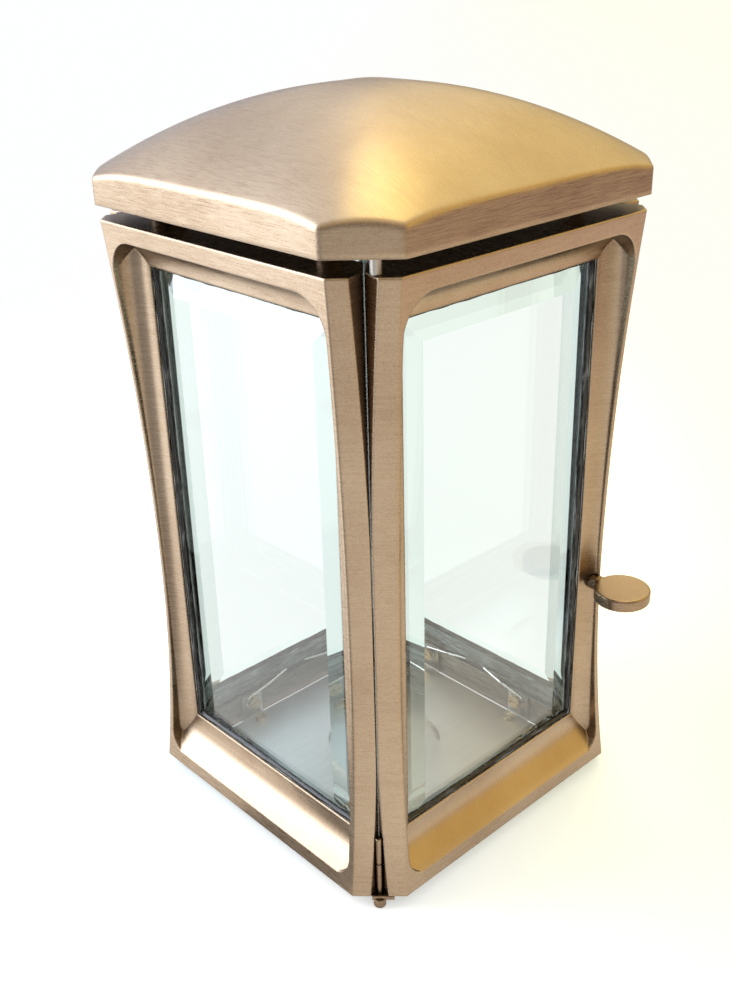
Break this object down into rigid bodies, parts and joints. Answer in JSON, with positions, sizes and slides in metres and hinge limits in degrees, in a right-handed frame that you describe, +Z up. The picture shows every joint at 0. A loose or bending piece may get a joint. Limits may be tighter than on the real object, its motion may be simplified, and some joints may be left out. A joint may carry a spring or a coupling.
{
  "type": "grave lantern",
  "caption": "Square cast-bronze grave lantern with waisted glazed walls, a hinged glazed door with a thumb latch, a domed roof and a floor plate for a candle.",
  "frame": {"origin": "on the ground under the middle of the lantern", "axes": "+Z up, -Y out through the door, +X from the door's hinge side to its latch side"},
  "size_m": [0.14, 0.1532, 0.2571],
  "materials": {
    "bronze": "brushed, lightly aged",
    "glass": "clear, bevelled",
    "bedding": "clear silicone, smoky at its edges",
    "spring_wire": "drawn wire",
    "screw_brass": "turned",
    "pin_steel": "plain",
    "floor_sheet": "satin sheet"
  },
  "bodies": {
    "base": {"frame_right": "bronze", "pane_right": "glass", "glazing_strip_right": "bedding", "glass_clips_right": "spring_wire", "clip_screws_right": "screw_brass", "frame_back": "bronze", "pane_back": "glass", "glazing_strip_back": "bedding", "glass_clips_back": "spring_wire", "clip_screws_back": "screw_brass", "frame_left": "bronze", "pane_left": "glass", "glazing_strip_left": "bedding", "glass_clips_left": "spring_wire", "clip_screws_left": "screw_brass", "corner_feet": "bronze", "upper_corner_pins": "bronze", "hinge_foot": "bronze", "hinge_plate": "bronze", "hinge_pin_lower": "pin_steel", "hinge_stud_upper": "pin_steel", "hinge_pin_upper": "pin_steel", "floor_plate": "floor_sheet", "floor_brackets": "pin_steel", "floor_screws": "screw_brass", "roof": "bronze", "roof_spacers": "bronze", "roof_screws": "screw_brass"},
    "door": {"door_frame": "bronze", "pane_door": "glass", "glazing_strip_door": "bedding", "glass_clips_door": "spring_wire", "clip_screws_door": "screw_brass"},
    "latch": {"latch_knob": "bronze", "latch_cam": "pin_steel", "latch_screw": "screw_brass"}
  },
  "joints": [
    {"name": "door_swing", "type": "hinge", "parent": "base", "child": "door", "pos_m": [-0.05673, -0.06139, 0.11], "axis": [0, 0, -1], "range_deg": [0, 100]},
    {"name": "latch_turn", "type": "hinge", "parent": "door", "child": "latch", "pos_m": [0.05, -0.0732, 0.08205], "axis": [0, -1, 0], "range_deg": [0, 90]}
  ]
}
